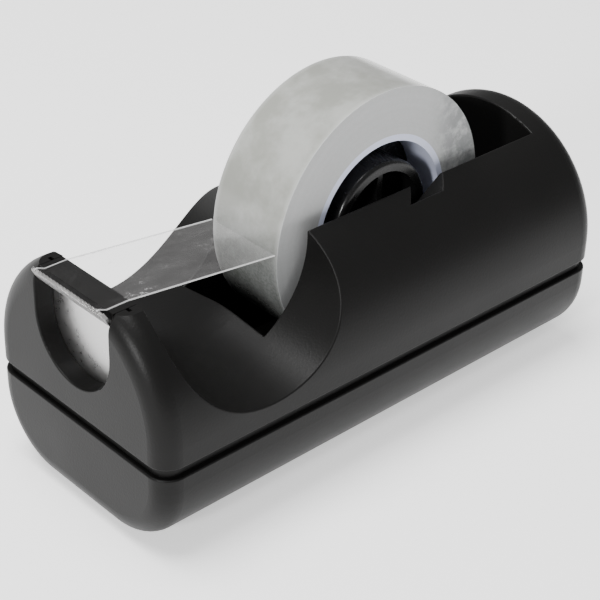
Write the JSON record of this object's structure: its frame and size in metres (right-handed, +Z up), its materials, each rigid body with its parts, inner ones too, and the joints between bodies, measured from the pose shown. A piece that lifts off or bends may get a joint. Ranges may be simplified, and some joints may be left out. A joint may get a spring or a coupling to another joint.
{
  "type": "tape dispenser",
  "caption": "Weighted barrel-shaped desk tape dispenser with a drop-in hub, a roll of clear tape and a toothed steel blade.",
  "frame": {"origin": "on the table under the middle of the case", "axes": "+X from the blade to the rear, +Y across the case along the roll's axle, +Z up"},
  "size_m": [0.0962, 0.0414, 0.0559],
  "materials": {
    "case_black": "fine matte grain",
    "hub_black": "satin moulded",
    "pad_foam": "fine foam",
    "ballast_steel": "zinc plated",
    "ballast_iron": "rough cast",
    "screw_steel": "zinc plated",
    "blade_steel": "satin stainless",
    "tape_film": "clear film",
    "tape_wound": "frosted wound film",
    "core_white": "smooth white"
  },
  "bodies": {
    "case": {"upper_shell": "case_black", "lower_shell": "case_black", "base_pad": "pad_foam", "ballast_plate": "ballast_steel", "ballast_block": "ballast_iron", "case_screws": "screw_steel", "cutter_blade": "blade_steel", "tape_rest": "case_black", "tape_strip": "tape_film"},
    "axle": {"hub_axle": "hub_black"},
    "spool": {"hub_left": "hub_black", "hub_right": "hub_black", "tape_core": "core_white", "tape_roll": "tape_wound"}
  },
  "joints": [
    {"name": "hub_lift", "type": "slide", "parent": "case", "child": "axle", "axis": [0.829, 0, 0.5592], "range_m": [0, 0.012]},
    {"name": "spool_spin", "type": "hinge", "parent": "axle", "child": "spool", "pos_m": [0.0078, 0, 0.0336], "axis": [0, 1, 0], "continuous": true}
  ]
}
